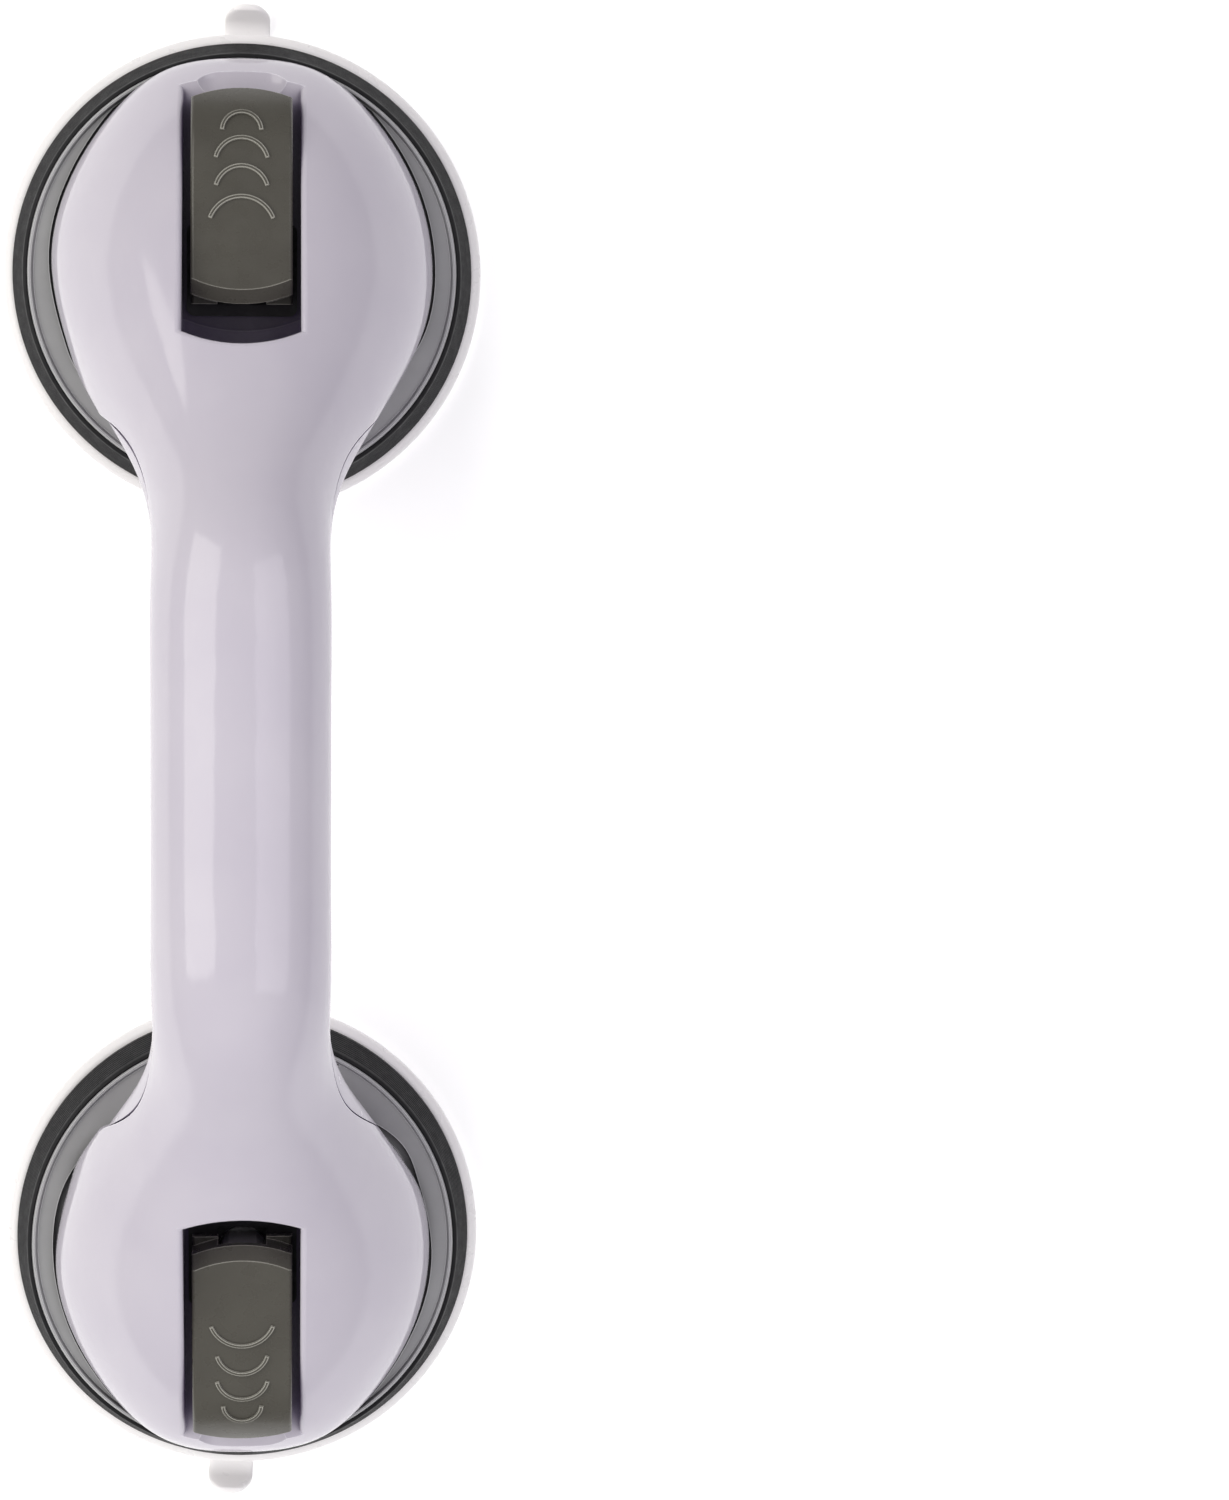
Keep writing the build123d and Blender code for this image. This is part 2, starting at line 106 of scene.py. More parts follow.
class Nodes:
    """A material's node tree, with short calls to add and join nodes."""

    def __init__(self, name: str) -> None:
        """Make an empty material of that name with an output and a Principled shader."""
        self.material = bpy.data.materials.new(name)
        self.material.use_nodes = True
        self.tree = self.material.node_tree
        self.tree.nodes.clear()
        self.output = self.add("ShaderNodeOutputMaterial")
        self.shader = self.add("ShaderNodeBsdfPrincipled")
        self.join(self.shader, "BSDF", self.output, "Surface")
        self.place = self.add("ShaderNodeTexCoord")

    def add(self, kind: str, **inputs: object) -> bpy.types.Node:
        """Add a node and set its inputs.

        Args:
            kind: the node's type name.
            inputs: values by input name, with underscores for spaces.

        Returns:
            The new node.
        """
        node = self.tree.nodes.new(kind)
        for name, value in inputs.items():
            node.inputs[name.replace("_", " ")].default_value = value
        return node

    def join(
        self, source: bpy.types.Node, out: str | int, target: bpy.types.Node, into: str | int
    ) -> None:
        """Link one node's output to another's input."""
        self.tree.links.new(source.outputs[out], target.inputs[into])

    def stretched(self, scale: Place) -> bpy.types.Node:
        """Object coordinates multiplied by a scale along each axis, as a Mapping node."""
        mapping = self.add("ShaderNodeMapping", Scale=scale)
        self.join(self.place, "Object", mapping, "Vector")
        return mapping

    def noise(
        self, scale: float, detail: float, stretch: Place = (1.0, 1.0, 1.0)
    ) -> bpy.types.Node:
        """A noise texture on Object coordinates.

        Args:
            scale: repeats in a metre.
            detail: octaves of the noise.
            stretch: how much finer the pattern is along each axis.

        Returns:
            The noise node.
        """
        texture = self.add("ShaderNodeTexNoise", Scale=scale, Detail=detail)
        self.join(self.stretched(stretch), "Vector", texture, "Vector")
        return texture

    def ranged(
        self, source: bpy.types.Node, out: str | int, span: tuple[float, float], onto: tuple[float, float]
    ) -> bpy.types.Node:
        """A signal carried from one span to another and held at its ends.

        Args:
            source: the node that gives the signal.
            out: the output to read.
            span: the signal's values that matter.
            onto: what they become.

        Returns:
            The Map Range node.
        """
        low, high = span
        node = self.add("ShaderNodeMapRange", From_Min=low, From_Max=high, To_Min=onto[0], To_Max=onto[1])
        self.join(source, out, node, "Value")
        return node

    def mixed(self, share: bpy.types.Node, tone: bpy.types.Node | Colour, colour: Colour) -> bpy.types.Node:
        """A mix from the colour so far to another one.

        Args:
            share: the node whose first output says how much of the other colour shows.
            tone: a mix node, or a plain colour, to start from.
            colour: the colour to reach.

        Returns:
            The Mix node.
        """
        blend = self.add("ShaderNodeMix")
        blend.data_type = "RGBA"
        self.join(share, 0, blend, 0)
        if isinstance(tone, tuple):
            blend.inputs[MIX_FROM].default_value = (*tone, 1.0)
        else:
            self.join(tone, MIX_RESULT, blend, MIX_FROM)
        blend.inputs[MIX_TO].default_value = (*colour, 1.0)
        return blend


@dataclass(frozen=True)
class Finish:
    """One surface finish: its colour, its gloss and the grain that breaks both up.

    Attributes:
        name: the material's name, which is also the record's slot.
        colour: linear base colour.
        shade: the colour that the mottling drifts towards.
        grain: the kind of fine structure.
        rough: lowest and highest roughness.
        mottle: repeats of the mottling in a metre.
        bump: depth of the grain, in metres.
        metal: metallic share.
        clear: transmission share.
        specular: specular level.
        painted_shade: the painted shade colour that narrow gaps and hollows darken to, where shade falls,
            or None.
        painted_shade_reach: how near another surface must be for the painted shade to darken this one, in
            metres.
        edge: the painted highlight colour that sharp edges and fine ridges lighten to, or None.
        painted_highlight_reach: how far the painted highlight spreads from an edge, in metres.
    """

    name: str
    colour: Colour
    shade: Colour
    grain: Grain
    rough: tuple[float, float]
    mottle: float = 60.0
    bump: float = 0.00002
    metal: float = 0.0
    clear: float = 0.0
    specular: float = 0.5
    painted_shade: Colour | None = None
    painted_shade_reach: float = 0.008
    edge: Colour | None = None
    painted_highlight_reach: float = 0.0003

    def grain_scale(self) -> tuple[float, Place]:
        """The grain's repeats in a metre and its stretch along each axis."""
        return {
            Grain.GLOSS: (420.0, (1.0, 0.6, 1.0)),
            Grain.SATIN: (1500.0, (1.0, 1.0, 1.0)),
            Grain.SPARKED: (2600.0, (1.0, 1.0, 1.0)),
            Grain.BRUSHED: (900.0, (1.0, 14.0, 1.0)),
            Grain.DRAWN: (1200.0, (1.0, 1.0, 6.0)),
        }[self.grain]

    def material(self) -> bpy.types.Material:
        """Build the material.

        A broad noise drifts the colour from its base to its mottled shade, a second one of another size
        varies the roughness, and the grain's own noise moves the surface's normal. A painted
        highlight along sharp edges and painted shade in gaps and hollows lie over the first.

        Returns:
            The finished material.
        """
        made = Nodes(self.name)
        shader = made.shader
        broad = made.ranged(made.noise(self.mottle, COLOUR_DETAIL), 0, NOISE_SPAN, (0.0, 1.0))
        tone = made.mixed(broad, self.colour, self.shade)
        # Painted highlight: the colour lightens along sharp edges and fine ridges.
        if self.edge:
            tone = self.painted_edge_highlight(made, tone)
        # Painted shade: the colour darkens where gaps and hollows are closed in.
        if self.painted_shade:
            tone = self.painted_gap_shade(made, tone)
        made.join(tone, MIX_RESULT, shader, "Base Color")
        patches = made.noise(self.mottle * GLOSS_PATCHES, GLOSS_DETAIL)
        gloss = made.ranged(patches, 0, NOISE_SPAN, self.rough)
        made.join(gloss, 0, shader, "Roughness")
        scale, stretch = self.grain_scale()
        relief = made.add("ShaderNodeBump", Strength=GRAIN_STRENGTH, Distance=self.bump)
        made.join(made.noise(scale, GRAIN_DETAIL, stretch), 0, relief, "Height")
        made.join(relief, "Normal", shader, "Normal")
        for socket, value in (
            ("Metallic", self.metal),
            ("Transmission Weight", self.clear),
            ("Specular IOR Level", self.specular),
            ("IOR", PLASTIC_IOR),
        ):
            shader.inputs[socket].default_value = value
        made.material.diffuse_color = (*self.colour, 1.0)
        return made.material

    def painted_gap_shade(self, made: Nodes, tone: bpy.types.Node) -> bpy.types.Node:
        """Paint shade into the colour where other surfaces stand close round it and shade falls.

        Args:
            made: the material's nodes.
            tone: the mix that gives the colour so far.

        Returns:
            The mix that gives the colour with its painted shade.
        """
        openness = made.add("ShaderNodeAmbientOcclusion", Distance=self.painted_shade_reach)
        openness.samples = OPENNESS_SAMPLES
        share = made.ranged(openness, "AO", HIDDEN_TO_OPEN, (1.0, 0.0))
        return made.mixed(share, tone, self.painted_shade)

    def painted_edge_highlight(self, made: Nodes, tone: bpy.types.Node) -> bpy.types.Node:
        """Paint a highlight along sharp edges, where a rounded normal leaves the true one.

        Args:
            made: the material's nodes.
            tone: the mix that gives the colour so far.

        Returns:
            The mix that gives the colour with its painted highlight.
        """
        rounding = made.add("ShaderNodeBevel", Radius=self.painted_highlight_reach)
        rounding.samples = ROUNDING_SAMPLES
        geometry = made.add("ShaderNodeNewGeometry")
        agreement = made.add("ShaderNodeVectorMath")
        agreement.operation = "DOT_PRODUCT"
        made.join(rounding, "Normal", agreement, 0)
        made.join(geometry, "Normal", agreement, 1)
        share = made.ranged(agreement, "Value", FLAT_TO_SHARP, (0.0, 1.0))
        return made.mixed(share, tone, self.edge)


# Painted shade: the colour that the lavender shells' lever wells, slots and hollows darken to.
PAINTED_WELL_SHADE = (0.084, 0.050, 0.140)

FINISHES = {
    finish.name: finish
    for finish in (
        # The front shell carries painted shade in its lever wells and slots and a painted highlight along
        # its rim and well edges.
        Finish(
            "shell_lavender", (0.550, 0.520, 0.580), (0.525, 0.494, 0.560), Grain.GLOSS, (0.08, 0.13),
            painted_shade=PAINTED_WELL_SHADE, painted_shade_reach=0.012, edge=(0.800, 0.780, 0.840), painted_highlight_reach=0.0004,
        ),
        # Painted shade in the back shell's hollows.
        Finish(
            "back_lavender", (0.540, 0.510, 0.570), (0.515, 0.485, 0.550), Grain.SATIN, (0.20, 0.28),
            painted_shade=PAINTED_WELL_SHADE, painted_shade_reach=0.013,
        ),
        # Painted highlight along the lever's edges and grip ridges.
        Finish(
            "lever_grey", (0.080, 0.076, 0.063), (0.070, 0.066, 0.055), Grain.SATIN, (0.24, 0.34),
            mottle=90.0, edge=(0.400, 0.390, 0.345), painted_highlight_reach=0.00035,
        ),
        # Painted shade in the narrow gap round the head, and a painted highlight along the dish's lip.
        Finish(
            "dish_grey", (0.345, 0.345, 0.348), (0.310, 0.310, 0.315), Grain.SATIN, (0.30, 0.42),
            mottle=110.0, painted_shade=(0.012, 0.012, 0.014), painted_shade_reach=0.0035,
            edge=(0.720, 0.720, 0.730), painted_highlight_reach=0.0003,
        ),
        Finish(
            "ring_rubber", (0.010, 0.010, 0.011), (0.014, 0.014, 0.015), Grain.SPARKED, (0.46, 0.60),
            mottle=140.0, specular=0.22,
        ),
        Finish(
            "clear_pad", (0.990, 0.972, 0.970), (0.975, 0.955, 0.955), Grain.SATIN, (0.25, 0.36),
            mottle=80.0, bump=0.000006, clear=0.06,
        ),
        Finish(
            "stem_plastic", (0.620, 0.620, 0.600), (0.580, 0.580, 0.560), Grain.SATIN, (0.30, 0.40),
            mottle=150.0,
        ),
        Finish(
            "spring_steel", (0.560, 0.550, 0.530), (0.480, 0.470, 0.450), Grain.DRAWN, (0.22, 0.36),
            mottle=300.0, metal=1.0,
        ),
        Finish(
            "plate_steel", (0.050, 0.048, 0.052), (0.036, 0.035, 0.039), Grain.BRUSHED, (0.34, 0.48),
            mottle=200.0, metal=0.4,
        ),
        Finish(
            "screw_steel", (0.500, 0.500, 0.490), (0.420, 0.420, 0.410), Grain.BRUSHED, (0.26, 0.42),
            mottle=400.0, metal=1.0,
        ),
    )
}


class Wardrobe:
    """Makes each finish's material once and gives it to the pieces that wear it."""

    def __init__(self) -> None:
        """Start with no material made."""
        self.made: dict[str, bpy.types.Material] = {}

    def dress(self, piece: bpy.types.Object, slot: str) -> None:
        """Put one finish on every face of a piece.

        Args:
            piece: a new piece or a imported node.
            slot: the finish's name.
        """
        if slot not in self.made:
            self.made[slot] = FINISHES[slot].material()
        piece.data.materials.clear()
        piece.data.materials.append(self.made[slot])
        LOG.info("%s wears %s", piece.name, slot)


# ---------------------------------------------------------------- surfaces
# Points closer than the first of these, and edges shorter than the second, in metres, collapse.
MERGE_WITHIN = 0.000002
SHORTEST_EDGE = 0.0000005
FEWEST_POINTS = 8


def surface(name: str, points: np.ndarray, closed_u: bool, closed_v: bool) -> bpy.types.Object:
    """Turn a grid of points into a closed, outward-facing mesh.

    Each cell of the grid becomes one four-sided face. A closed direction joins its last row to
    its first, and rows that shrink to a point are merged into it.

    Args:
        name: the piece's name.
        points: an array of shape (rows, columns, 3).
        closed_u: join the last row to the first.
        closed_v: join the last column to the first.

    Returns:
        The new object, at the origin, with its place in its mesh.
    """
    rows, columns = points.shape[:2]
    u = np.arange(rows if closed_u else rows - 1)[:, None]
    v = np.arange(columns if closed_v else columns - 1)[None, :]
    next_u, next_v = (u + 1) % rows, (v + 1) % columns
    corners = [u * columns + v, next_u * columns + v, next_u * columns + next_v, u * columns + next_v]
    faces = np.stack([np.broadcast_to(c, (u.size, v.size)) for c in corners], axis=-1).reshape(-1, 4)
    mesh = bpy.data.meshes.new(name)
    mesh.from_pydata(points.reshape(-1, 3), [], faces)
    shell = bmesh.new()
    shell.from_mesh(mesh)
    bmesh.ops.remove_doubles(shell, verts=shell.verts, dist=MERGE_WITHIN)
    bmesh.ops.dissolve_degenerate(shell, edges=shell.edges, dist=SHORTEST_EDGE)
    bmesh.ops.recalc_face_normals(shell, faces=shell.faces)
    shell.to_mesh(mesh)
    shell.free()
    mesh.shade_smooth()
    piece = bpy.data.objects.new(name, mesh)
    bpy.context.scene.collection.objects.link(piece)
    LOG.info("%s: %d faces", name, len(mesh.polygons))
    return piece


def turned(profile: np.ndarray, steps: int) -> np.ndarray:
    """Carry a profile of (radius, height) points once round the Z axis.

    A point at radius r and angle a lands at (r cos a, r sin a).

    Args:
        profile: an array of shape (points, 2).
        steps: how many copies round the axis.

    Returns:
        An array of shape (points, steps, 3).
    """
    angle = np.linspace(0.0, FULL_TURN, steps, endpoint=False)[None, :]
    radius, height = profile[:, :1], profile[:, 1:]
    return np.stack([radius * np.cos(angle), radius * np.sin(angle), height + 0.0 * angle], axis=-1)


def smooth(share: np.ndarray) -> np.ndarray:
    """An S-curve that is 0 below 0 and 1 above 1."""
    share = np.clip(share, 0.0, 1.0)
    return share * share * (3.0 - 2.0 * share)


def rounded(corners: list[tuple[float, float, float]], steps: int = 6) -> np.ndarray:
    """Round the corners of a closed outline.

    Each corner's arc starts and ends a set distance along its two sides, and is the quadratic
    curve that the corner pulls on, so it leaves both sides in line with them.

    Args:
        corners: (x, y, distance) of each corner, in millimetres.
        steps: points along each arc.

    Returns:
        An array of shape (points, 2), in metres.
    """
    table = np.array(corners) * MM
    here, reach = table[:, :2], table[:, 2:]
    back, ahead = np.roll(here, 1, axis=0) - here, np.roll(here, -1, axis=0) - here
    start = here + back / np.linalg.norm(back, axis=1, keepdims=True) * reach
    end = here + ahead / np.linalg.norm(ahead, axis=1, keepdims=True) * reach
    t = np.linspace(0.0, 1.0, steps)[None, :, None]
    arcs = (1 - t) ** 2 * start[:, None] + 2 * t * (1 - t) * here[:, None] + t**2 * end[:, None]
    return arcs.reshape(-1, 2)


def refined(outline: np.ndarray, spacing: float) -> np.ndarray:
    """Space the points of a closed outline evenly along its length.

    Args:
        outline: an array of shape (points, 2).
        spacing: the distance wanted between points, in the outline's own unit.

    Returns:
        An array of shape (new points, 2).
    """
    closed = np.vstack([outline, outline[:1]])
    length = np.concatenate([[0.0], np.cumsum(np.linalg.norm(np.diff(closed, axis=0), axis=1))])
    count = max(FEWEST_POINTS, int(length[-1] / spacing))
    wanted = np.linspace(0.0, length[-1], count, endpoint=False)
    return np.stack([np.interp(wanted, length, closed[:, k]) for k in (0, 1)], axis=1)


@dataclass
class Cup:
    """One end of the bar: where its cup stands and which way its tab points.

    Attributes:
        end: "top" or "bottom".
        facing: 1 where the cup's outward side is +Y, -1 where it is -Y.
        tab_turn: degrees that the pad, and so its tab, is turned about the cup's axis.
        middle: the cup's place along the bar.
    """

    end: str
    facing: int
    tab_turn: float
    middle: float = field(init=False)

    def __post_init__(self) -> None:
        """Read the cup's place along the bar from its packed ring."""
        low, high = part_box(f"rim_ring_{self.end}")
        self.middle = (low.y + high.y) / 2

    def place(self, points: np.ndarray, turn: float = 0.0) -> np.ndarray:
        """Carry points from the cup's own frame to the object's.

        Args:
            points: an array whose last axis is (x, outward, z).
            turn: degrees that the points are turned about the cup's axis first.

        Returns:
            The moved points.
        """
        angle = math.radians(turn + (0.0 if self.facing > 0 else 180.0))
        c, s = math.cos(angle), math.sin(angle)
        x, y, z = points[..., 0], points[..., 1], points[..., 2]
        return np.stack([c * x - s * y, s * x + c * y + self.middle, z], axis=-1)

    @property
    def stem(self) -> str:
        """The body that the cup's stem moves with."""
        return f"stem_{self.end}"


# ---------------------------------------------------------------- sub-assemblies
@dataclass
class SuctionPad:
    """Soft clear disc: a flat rim with a pull tab, a domed web and a moulded boss.

    The rim stays on the wall and the boss rises and falls with the stem.

    Lengths are in millimetres.

    Attributes:
        cup: the cup that the pad belongs to.
        rim_inner: where the flat rim meets the web.
        rim_outer: radius of the rim's edge.
        boss_outer: where the web meets the boss.
        boss_top: height of the boss's upper face.
        lip_high: height at which the rim's edge starts to slope inward.
        lip_slope: how far in that slope runs.
        bead_depth: depth of the fine beads on the rim's upper face.
        bead_spacing: distance between the beads.
        bead_margins: distance from the web over which the beads fade in, and the width at the
            rim's edge that they leave plain.
        bead_fade: distance over which they fade out there.
        lift: how far the locked web is drawn up at the boss.
        rise: height of the rim's upper face.
        web_overlaps: how far the web runs into the rim and into the boss.
        web_skin: how far the web's faces stay inside the rim's.
        boss_shoulder: radius of the boss at its top.
        socket: radius of the hollow for the stem's flange.
        socket_floor: thickness of the boss under that hollow.
        socket_roof: height of the hollow's upper face.
        bore: radius of the hole for the stem's shaft.
        tab_root: how far inside the rim the tab starts.
        tab_level: height of the tab's middle at its root.
        tab_bend: radius of the tab's bend.
        tab_angle: degrees that the tab turns up.
        tab_free: length of the tab past its bend.
        tab_width: width of the tab.
        tab_thickness: thickness of the tab.
        tab_taper: length over which the tab's thickness closes.
        tab_powers: powers of the cosine and the sine in the tab's cross-section.
        fineness: distance between the points of the rim's outline.
        top_band: depth under the rim's upper face that still counts as that face.
        web_steps: points across the web.
        tab_rows: cross-sections along the tab.
        tab_columns: points round each of them.
        steps: copies of the rim's outline round the pad.
    """

    cup: Cup
    rim_inner: float = 34.0
    rim_outer: float = 46.4
    lip_high: float = 1.7
    lip_slope: float = 1.2
    bead_depth: float = 0.09
    bead_spacing: float = 1.55
    bead_margins: tuple[float, float] = (1.5, 1.6)
    bead_fade: float = 1.2
    lift: float = 4.0
    rise: float = 2.4
    web_overlaps: tuple[float, float] = (0.6, 0.8)
    web_skin: float = 0.02
    boss_outer: float = 14.6
    boss_shoulder: float = 13.6
    boss_top: float = 8.8
    socket: float = 11.1
    socket_floor: float = 1.55
    socket_roof: float = 7.7
    bore: float = 5.1
    tab_root: float = 3.0
    tab_level: float = 0.95
    tab_width: float = 8.8
    tab_thickness: float = 1.5
    tab_bend: float = 4.0
    tab_angle: float = 50.0
    tab_free: float = 3.6
    tab_taper: float = 0.7
    tab_powers: tuple[float, float] = (0.5, 0.7)
    fineness: float = 0.22
    top_band: float = 0.3
    web_steps: int = 28
    tab_rows: int = 90
    tab_columns: int = 48
    steps: int = 192

    def rim(self) -> np.ndarray:
        """The flat rim: a closed outline with a thin rounded lip, turned.

        Its upper face carries a cosine of the radius, which fades out near both ends.
        """
        outline = rounded([
            (self.rim_inner, 0.0, 0.05), (self.rim_outer, 0.0, 0.45), (self.rim_outer, self.lip_high, 0.7),
            (self.rim_outer - self.lip_slope, self.rise, 0.5), (self.rim_inner, self.rise, 0.05),
        ])
        fine = refined(outline, self.fineness * MM)
        radius = fine[:, 0] / MM
        on_top = fine[:, 1] > (self.rise - self.top_band) * MM
        past_web = radius - self.rim_inner
        at_web, at_lip = self.bead_margins
        to_lip = self.rim_outer - at_lip - radius
        bead = self.bead_depth * (np.cos(FULL_TURN * past_web / self.bead_spacing) - 1.0)
        fade = smooth(past_web / at_web) * smooth(to_lip / self.bead_fade)
        fine[:, 1] += np.where(on_top, bead * fade, 0.0) * MM
        return turned(fine, self.steps)

    def web(self) -> np.ndarray:
        """The web: an S-curve from the rim up to the boss, with the rim's thickness."""
        into_rim, into_boss = self.web_overlaps
        radius = np.linspace(self.rim_inner + into_rim, self.boss_outer - into_boss, self.web_steps)
        climb = self.lift * smooth((self.rim_inner - radius) / (self.rim_inner - self.boss_outer))
        low = np.stack([radius, climb + self.web_skin], axis=1)
        high = np.stack([radius, climb + self.rise - self.web_skin], axis=1)[::-1]
        return turned(np.vstack([low, high]) * MM, self.steps // 2)

    def boss(self) -> np.ndarray:
        """The boss: a rounded block with the stem's flange socket inside it, turned."""
        under, shelf = self.lift, self.lift + self.socket_floor
        outline = rounded([
            (0.4, under, 0.05), (self.boss_outer, under, 0.3), (self.boss_outer, under + self.rise, 0.5),
            (self.boss_shoulder, self.boss_top, 0.9), (self.bore, self.boss_top, 0.3),
            (self.bore, self.socket_roof, 0.1), (self.socket, self.socket_roof, 0.1),
            (self.socket, shelf, 0.1), (0.4, shelf, 0.05),
        ])
        closing = np.array([[0.0, shelf * MM], [0.0, under * MM]])
        return turned(np.vstack([outline, closing]), self.steps // 2)

    def tab(self) -> np.ndarray:
        """The pull tab: a rounded strip carried along a run, a bend and a free run.

        Its cross-section is a superellipse with flat sides. The width closes as a half circle at
        the free end, and the thickness as the square root of the distance left.
        """
        full_bend = math.radians(self.tab_angle)
        bend_length = self.tab_bend * full_bend
        total = self.tab_root + bend_length + self.tab_free
        s = total * np.sin(np.linspace(0.0, 0.25 * FULL_TURN, self.tab_rows))
        angle = np.clip((s - self.tab_root) / self.tab_bend, 0.0, full_bend)
        past = np.maximum(s - self.tab_root - bend_length, 0.0)
        flat = self.rim_outer - self.tab_root + np.minimum(s, self.tab_root)
        out = flat + self.tab_bend * np.sin(angle) + past * np.cos(angle)
        up = self.tab_level + self.tab_bend * (1.0 - np.cos(angle)) + past * np.sin(angle)
        half = self.tab_width / 2
        to_end = np.clip((total - s) / half, 0.0, 1.0)
        width = half * np.sqrt(1.0 - (1.0 - to_end) ** 2)
        thick = self.tab_thickness / 2 * np.sqrt(np.clip((total - s) / self.tab_taper, 0.0, 1.0))
        a = np.linspace(0.0, FULL_TURN, self.tab_columns, endpoint=False)[None, :]
        flatness, fullness = self.tab_powers
        across = np.sign(np.cos(a)) * np.abs(np.cos(a)) ** flatness * width[:, None]
        over = np.sign(np.sin(a)) * np.abs(np.sin(a)) ** fullness * thick[:, None]
        y = out[:, None] - over * np.sin(angle)[:, None]
        z = up[:, None] + over * np.cos(angle)[:, None]
        body = np.stack([across, y, z], axis=-1)
        start = np.broadcast_to(body[:1].mean(axis=1, keepdims=True), (1, body.shape[1], 3))
        return np.vstack([start, body]) * MM

    def build(self, wardrobe: Wardrobe) -> None:
        """Make the rim, tab, web and boss, and hang each on the body that carries it."""
        end = self.cup.end
        node = f"suction_pad_{end}"
        turn = self.cup.tab_turn
        rim = surface(f"pad_rim_{end}", self.cup.place(self.rim(), turn), True, True)
        tab = surface(f"pad_tab_{end}", self.cup.place(self.tab(), turn), False, True)
        web = surface(f"pad_web_{end}", self.cup.place(self.web()), True, True)
        boss = surface(f"pad_boss_{end}", self.cup.place(self.boss()), True, True)
        for piece in (rim, tab, web):
            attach(piece, "handle")
        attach(boss, self.cup.stem)
        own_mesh(web)
        for piece in (rim, tab, web, boss):
            wardrobe.dress(piece, "clear_pad")
            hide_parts(node)


@dataclass
class RimRing:
    """Rubber ring round the dish: a steep grooved cone on a rounded foot.

    Lengths are in millimetres.

    Attributes:
        cup: the cup that the ring belongs to.
        inner: radius of the hole that the dish fills.
        foot: radius of the foot.
        foot_low: height of the foot's underside.
        foot_high: height at which the cone starts.
        crest: radius of the cone's top.
        crest_high: height of the cone's top.
        grooves: how many fine grooves run round the cone.
        groove_depth: depth of a groove.
        groove_low: height of the lowest groove's start.
        groove_margin: how far under the top the grooves stop.
        groove_fade: share of the grooved height over which they fade, at both ends.
        groove_power: how narrow the grooves are against the lands between them.
        fineness: distance between the points of the ring's outline.
        wall: thickness at the hole that carries no groove.
        steps: copies of the outline round the ring.
    """

    cup: Cup
    inner: float = 41.25
    foot: float = 44.5
    foot_low: float = 2.5
    foot_high: float = 3.6
    crest: float = 41.95
    crest_high: float = 12.0
    grooves: int = 9
    groove_depth: float = 0.13
    groove_low: float = 3.9
    groove_margin: float = 1.0
    groove_fade: float = 0.06
    groove_power: int = 3
    fineness: float = 0.09
    wall: float = 0.3
    steps: int = 288

    def shape(self) -> np.ndarray:
        """The ring: a closed outline whose slope carries a train of cosine grooves, turned.

        The depth follows half of one minus the cosine of the height, raised to a power, so the
        grooves are narrow and the lands between them are flat, and fades out near both ends.
        """
        outline = rounded([
            (self.inner, self.foot_low, 0.2), (self.foot, self.foot_low, 0.25),
            (self.foot, self.foot_high, 0.5), (self.crest, self.crest_high, 0.5),
            (self.inner, self.crest_high, 0.2),
        ])
        fine = refined(outline, self.fineness * MM)
        height = fine[:, 1] / MM
        share = (height - self.groove_low) / (self.crest_high - self.groove_margin - self.groove_low)
        outside = fine[:, 0] / MM > self.inner + self.wall
        wave = (0.5 - 0.5 * np.cos(FULL_TURN * self.grooves * share)) ** self.groove_power
        fade = smooth(share / self.groove_fade) * smooth((1.0 - share) / self.groove_fade)
        fine[:, 0] -= np.where(outside, self.groove_depth * wave * fade, 0.0) * MM
        return turned(fine, self.steps)

    def build(self, wardrobe: Wardrobe) -> None:
        """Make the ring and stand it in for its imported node."""
        end = self.cup.end
        ring = surface(f"grip_ring_{end}", self.cup.place(self.shape()), True, True)
        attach(ring, "handle")
        wardrobe.dress(ring, "ring_rubber")
        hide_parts(f"rim_ring_{end}")


